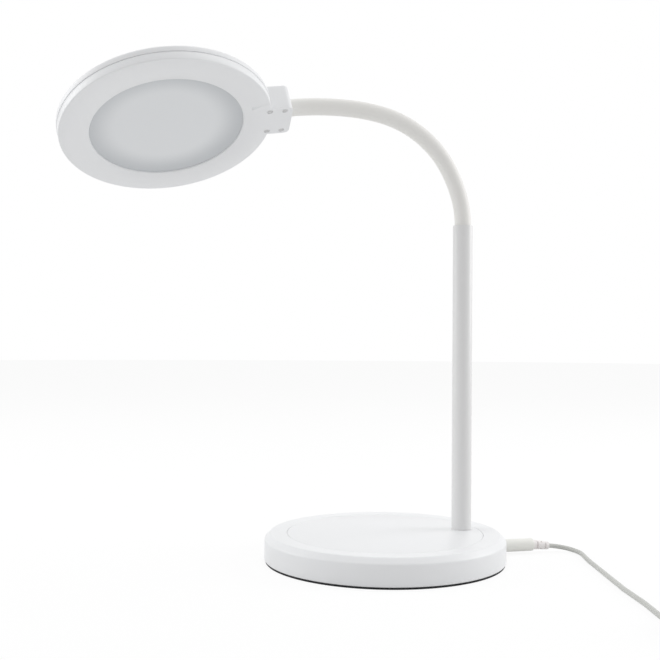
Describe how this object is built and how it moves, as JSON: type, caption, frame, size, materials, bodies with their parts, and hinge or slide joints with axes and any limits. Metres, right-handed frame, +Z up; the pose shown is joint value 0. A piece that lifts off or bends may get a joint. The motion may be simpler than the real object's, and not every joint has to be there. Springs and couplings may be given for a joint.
{
  "type": "desk lamp",
  "caption": "White desk lamp with a round weighted base, an upright post, a flexible neck and a flat round light head that swivels on the neck's end.",
  "frame": {"origin": "centre of the base's underside, on the desk", "axes": "+Z up, -Y towards the front where the head reaches out, +Y towards the supply socket"},
  "size_m": [0.3436, 0.4245, 0.3558],
  "materials": {
    "white_abs": "satin moulded ABS",
    "white_panel": "semi-gloss moulded ABS",
    "white_paint": "satin powder coat",
    "white_sleeve": "satin silicone",
    "opal": "opal acrylic",
    "black_foam": "closed-cell foam",
    "black_plastic": "textured black ABS",
    "steel": "bare steel",
    "screw_steel": "zinc-plated steel",
    "white_screw": "white lacquered steel",
    "copper": "copper sheet",
    "board_green": "solder mask on glass laminate",
    "board_white": "white solder mask",
    "chip_black": "moulded epoxy",
    "led_yellow": "phosphor in clear resin",
    "aluminium": "bare sheet",
    "acetal": "natural acetal",
    "lead_black": "PVC sheath",
    "cord_grey": "satin PVC sheath",
    "plug_grey": "moulded PVC",
    "relief_white": "moulded PVC",
    "nickel": "nickel plate"
  },
  "bodies": {
    "base": {"base_shell": "white_abs", "top_panel": "white_panel", "base_pad": "black_foam", "bottom_cover": "black_plastic", "cover_screws": "screw_steel", "ballast_disc": "steel", "ballast_screws": "screw_steel", "touch_board": "board_green", "board_chips": "chip_black", "touch_foil": "copper", "dc_jack": "black_plastic", "jack_pin": "nickel", "jack_lead": "lead_black", "post_tube": "white_paint", "post_flange": "steel", "flange_screws": "screw_steel", "post_lead": "lead_black", "neck_ferrule": "steel", "neck_sleeve": "white_sleeve", "neck_lead": "lead_black", "plug_barrel": "nickel", "plug_grip": "plug_grey", "plug_relief": "relief_white", "cord_run": "cord_grey", "cord_coil": "cord_grey", "cord_tie": "black_plastic", "cord_tail": "cord_grey", "usb_relief": "plug_grey", "usb_grip": "plug_grey", "usb_shell": "nickel"},
    "link_1": {"neck_link_1": "steel"},
    "link_2": {"neck_link_2": "steel"},
    "link_3": {"neck_link_3": "steel"},
    "link_4": {"neck_link_4": "steel"},
    "link_5": {"neck_link_5": "steel"},
    "link_6": {"neck_link_6": "steel"},
    "link_7": {"neck_link_7": "steel"},
    "link_8": {"neck_link_8": "steel", "swivel_spindle": "steel"},
    "head": {"rear_shell": "white_abs", "front_bezel": "white_abs", "diffuser": "opal", "reflector": "white_panel", "led_board": "board_white", "leds": "led_yellow", "heat_plate": "aluminium", "board_screws": "screw_steel", "swivel_bush": "acetal", "friction_washer": "copper", "block_screws": "white_screw", "head_lead": "lead_black"}
  },
  "joints": [
    {"name": "neck_bend_1", "type": "hinge", "parent": "base", "child": "link_1", "pos_m": [0, 0.061, 0.2525], "axis": [1, 0, 0], "range_deg": [-15, 9], "deforming": ["neck_sleeve", "neck_lead"]},
    {"name": "neck_sway_2", "type": "hinge", "parent": "link_1", "child": "link_2", "pos_m": [0, 0.05766, 0.27487], "axis": [0, 0.9563, 0.2924], "range_deg": [-10, 10], "deforming": ["neck_sleeve", "neck_lead"]},
    {"name": "neck_bend_3", "type": "hinge", "parent": "link_2", "child": "link_3", "pos_m": [0, 0.04862, 0.29564], "axis": [1, 0, 0], "range_deg": [-15, 9], "deforming": ["neck_sleeve", "neck_lead"]},
    {"name": "neck_sway_4", "type": "hinge", "parent": "link_3", "child": "link_4", "pos_m": [0, 0.03455, 0.31334], "axis": [0, 0.682, 0.7314], "range_deg": [-10, 10], "deforming": ["neck_sleeve", "neck_lead"]},
    {"name": "neck_bend_5", "type": "hinge", "parent": "link_4", "child": "link_5", "pos_m": [0, 0.01601, 0.32632], "axis": [1, 0, 0], "range_deg": [-15, 9], "deforming": ["neck_sleeve", "neck_lead"]},
    {"name": "neck_sway_6", "type": "hinge", "parent": "link_5", "child": "link_6", "pos_m": [0, -0.00533, 0.33387], "axis": [0, 0.2079, 0.9781], "range_deg": [-10, 10], "deforming": ["neck_sleeve", "neck_lead"]},
    {"name": "neck_bend_7", "type": "hinge", "parent": "link_6", "child": "link_7", "pos_m": [0, -0.02781, 0.33683], "axis": [1, 0, 0], "range_deg": [-15, 9], "deforming": ["neck_sleeve", "neck_lead"]},
    {"name": "neck_sway_8", "type": "hinge", "parent": "link_7", "child": "link_8", "pos_m": [0, -0.0505, 0.33693], "axis": [0, -0.0436, 0.999], "range_deg": [-10, 10], "deforming": ["neck_sleeve", "neck_lead"]},
    {"name": "head_swivel", "type": "hinge", "parent": "link_8", "child": "head", "pos_m": [0, -0.0731, 0.33492], "axis": [0, 0.991, 0.134], "range_deg": [-65, 115]}
  ],
  "couplings": [
    {"joint": "neck_bend_3", "follows": "neck_bend_1", "ratio": 1},
    {"joint": "neck_bend_5", "follows": "neck_bend_1", "ratio": 1},
    {"joint": "neck_bend_7", "follows": "neck_bend_1", "ratio": 1},
    {"joint": "neck_sway_4", "follows": "neck_sway_2", "ratio": 1},
    {"joint": "neck_sway_6", "follows": "neck_sway_2", "ratio": 1},
    {"joint": "neck_sway_8", "follows": "neck_sway_2", "ratio": 1}
  ]
}
